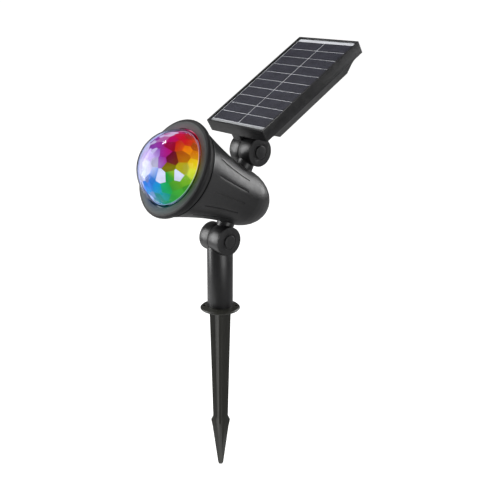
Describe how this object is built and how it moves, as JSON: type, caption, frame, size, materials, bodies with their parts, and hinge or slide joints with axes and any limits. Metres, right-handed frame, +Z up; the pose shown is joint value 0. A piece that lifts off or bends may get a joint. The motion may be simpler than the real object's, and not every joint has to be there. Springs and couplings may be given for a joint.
{
  "type": "solar garden projector light on a spike",
  "caption": "Solar garden light on a ground spike, with a tilting solar panel over a tilting projector head whose faceted dome turns to throw coloured light.",
  "frame": {"origin": "on the pole's axis, at the underside of the flange that rests on the ground", "axes": "+Z up along the pole, both tilt hinges run along X, and the light shines towards -Y and up"},
  "size_m": [0.0856, 0.2101, 0.3905],
  "materials": {
    "black_plastic": "moulded, fine texture",
    "spike_plastic": "moulded, slightly olive",
    "ring_grey": "moulded, satin",
    "clear_plastic": "clear, polished",
    "crystal": "clear with coloured facets",
    "steel": "zinc plated",
    "motor_can": "satin",
    "rubber_black": "matte",
    "board_white": "white solder mask",
    "board_green": "green solder mask",
    "led_chip": "phosphor under clear resin",
    "wire_red": "PVC sleeve",
    "cells": "dark coated silicon",
    "pale_backing": "pale sheet",
    "cell_wrap": "printed sleeve, plain",
    "switch_black": "moulded"
  },
  "bodies": {
    "spike": {"ground_spike": "spike_plastic"},
    "pole": {"pole": "black_plastic", "lower_pivot_bolt": "steel", "lower_pivot_nut": "steel", "lower_friction_washer": "rubber_black"},
    "head": {"head_shell": "black_plastic", "front_ring": "ring_grey", "dome_cover": "clear_plastic", "dome_seal": "rubber_black", "led_board": "board_white", "led_chips": "led_chip", "led_lenses": "clear_plastic", "board_screws": "steel", "motor_bracket": "steel", "drive_motor": "motor_can", "control_board": "board_green", "head_lead": "wire_red", "lower_hinge_cap": "black_plastic", "upper_hinge_cap": "black_plastic"},
    "crystal": {"crystal_dome": "crystal", "rotor_plate": "clear_plastic", "motor_shaft": "steel"},
    "panel": {"panel_frame": "black_plastic", "battery_cover": "black_plastic", "cover_seal": "rubber_black", "cover_screws": "steel", "pv_backing": "pale_backing", "solar_cells": "cells", "panel_glass": "clear_plastic", "battery": "cell_wrap", "battery_contacts": "steel", "charge_board": "board_green", "tact_switch": "switch_black", "panel_lead": "wire_red", "upper_pivot_bolt": "steel", "upper_pivot_nut": "steel", "upper_friction_washer": "rubber_black"},
    "button": {"mode_button": "rubber_black"}
  },
  "joints": [
    {"name": "pole_swivel", "type": "hinge", "parent": "spike", "child": "pole", "pos_m": [0, 0, 0.0032], "axis": [0, 0, 1], "continuous": true},
    {"name": "head_tilt", "type": "hinge", "parent": "pole", "child": "head", "pos_m": [0, 0, 0.0658], "axis": [-1, 0, 0], "range_deg": [-50, 40]},
    {"name": "panel_tilt", "type": "hinge", "parent": "head", "child": "panel", "pos_m": [0, 0.03442, 0.14006], "axis": [1, 0, 0], "range_deg": [-95, 35]},
    {"name": "crystal_spin", "type": "hinge", "parent": "head", "child": "crystal", "pos_m": [0, -0.04834, 0.13518], "axis": [0, -0.8918, 0.4524], "continuous": true},
    {"name": "button_press", "type": "slide", "parent": "panel", "child": "button", "axis": [0, -0.515, 0.8572], "range_m": [0, 0.001], "stiffness_N_per_m": 400}
  ]
}
